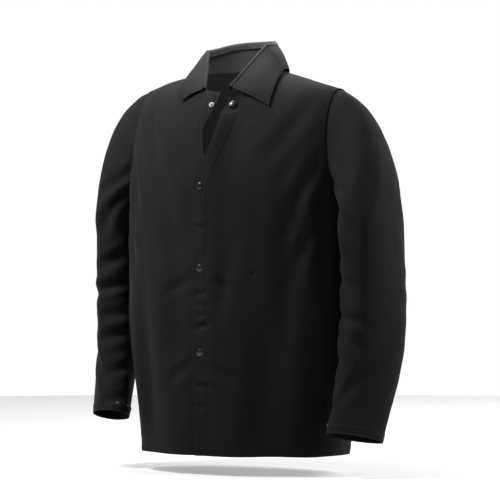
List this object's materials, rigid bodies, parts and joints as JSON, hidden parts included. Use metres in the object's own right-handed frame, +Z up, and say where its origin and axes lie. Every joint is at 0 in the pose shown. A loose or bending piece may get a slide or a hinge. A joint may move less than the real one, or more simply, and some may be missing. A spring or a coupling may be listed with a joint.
{
  "type": "welding jacket",
  "caption": "Black flame-resistant cotton welding jacket with a turned-down collar, snap front, long sleeves with snap cuffs and an inside pocket.",
  "frame": {"origin": "middle of the neck opening, level with the collar seam at the nape", "axes": "+Z up, -Y to the wearer's front, +X to the wearer's left"},
  "size_m": [0.6966, 0.3159, 0.817],
  "materials": {
    "shell_cloth": "matt woven cotton",
    "facing_cloth": "matt woven cotton",
    "snap_cap": "black enamel",
    "snap_metal": "nickel plate"
  },
  "bodies": {
    "torso": {"back_panel": "shell_cloth", "collar_back": "shell_cloth", "collar_stand": "shell_cloth", "front_snap_back_1": "snap_metal", "front_snap_cap_1": "snap_cap", "front_snap_socket_1": "snap_metal", "front_snap_stud_1": "snap_metal", "inside_pocket": "facing_cloth", "left_front_panel": "shell_cloth", "left_neck_facing": "facing_cloth", "right_front_panel": "shell_cloth", "right_neck_facing": "facing_cloth"},
    "left_front": {"front_snap_cap_2": "snap_cap", "front_snap_cap_3": "snap_cap", "front_snap_cap_4": "snap_cap", "front_snap_socket_2": "snap_metal", "front_snap_socket_3": "snap_metal", "front_snap_socket_4": "snap_metal", "left_front_facing": "facing_cloth", "left_front_flap": "shell_cloth"},
    "right_front": {"front_snap_back_2": "snap_metal", "front_snap_back_3": "snap_metal", "front_snap_back_4": "snap_metal", "front_snap_stud_2": "snap_metal", "front_snap_stud_3": "snap_metal", "front_snap_stud_4": "snap_metal", "right_front_facing": "facing_cloth", "right_front_flap": "shell_cloth"},
    "left_wing": {"left_collar_wing": "shell_cloth"},
    "right_wing": {"right_collar_wing": "shell_cloth"},
    "left_arm": {"left_cuff_back_1": "snap_metal", "left_cuff_back_2": "snap_metal", "left_cuff_cap": "snap_cap", "left_cuff_socket": "snap_metal", "left_cuff_stud_1": "snap_metal", "left_cuff_stud_2": "snap_metal", "left_sleeve": "shell_cloth"},
    "right_arm": {"right_cuff_back_1": "snap_metal", "right_cuff_back_2": "snap_metal", "right_cuff_cap": "snap_cap", "right_cuff_socket": "snap_metal", "right_cuff_stud_1": "snap_metal", "right_cuff_stud_2": "snap_metal", "right_sleeve": "shell_cloth"}
  },
  "joints": [
    {"name": "left_front_open", "type": "hinge", "parent": "torso", "child": "left_front", "pos_m": [0.0116, -0.158, -0.15], "axis": [-0.2206, 0, 0.9754], "range_deg": [0, 95]},
    {"name": "right_front_open", "type": "hinge", "parent": "torso", "child": "right_front", "pos_m": [-0.00612, -0.158, -0.15], "axis": [-0.2289, 0, -0.9735], "range_deg": [0, 28.5]},
    {"name": "left_collar_turn_up", "type": "hinge", "parent": "torso", "child": "left_wing", "pos_m": [0.078, -0.018, 0.05], "axis": [-0.3582, -0.625, -0.6936], "range_deg": [0, 110]},
    {"name": "right_collar_turn_up", "type": "hinge", "parent": "torso", "child": "right_wing", "pos_m": [-0.078, -0.018, 0.05], "axis": [-0.3582, 0.625, 0.6936], "range_deg": [0, 110]},
    {"name": "left_sleeve_raise", "type": "hinge", "parent": "torso", "child": "left_arm", "pos_m": [0.222, 0, -0.044], "axis": [0, -1, 0], "range_deg": [0, 60]},
    {"name": "right_sleeve_raise", "type": "hinge", "parent": "torso", "child": "right_arm", "pos_m": [-0.222, 0, -0.044], "axis": [0, 1, 0], "range_deg": [0, 60]}
  ],
  "couplings": [
    {"joint": "right_front_open", "follows": "left_front_open", "ratio": 0.3}
  ]
}
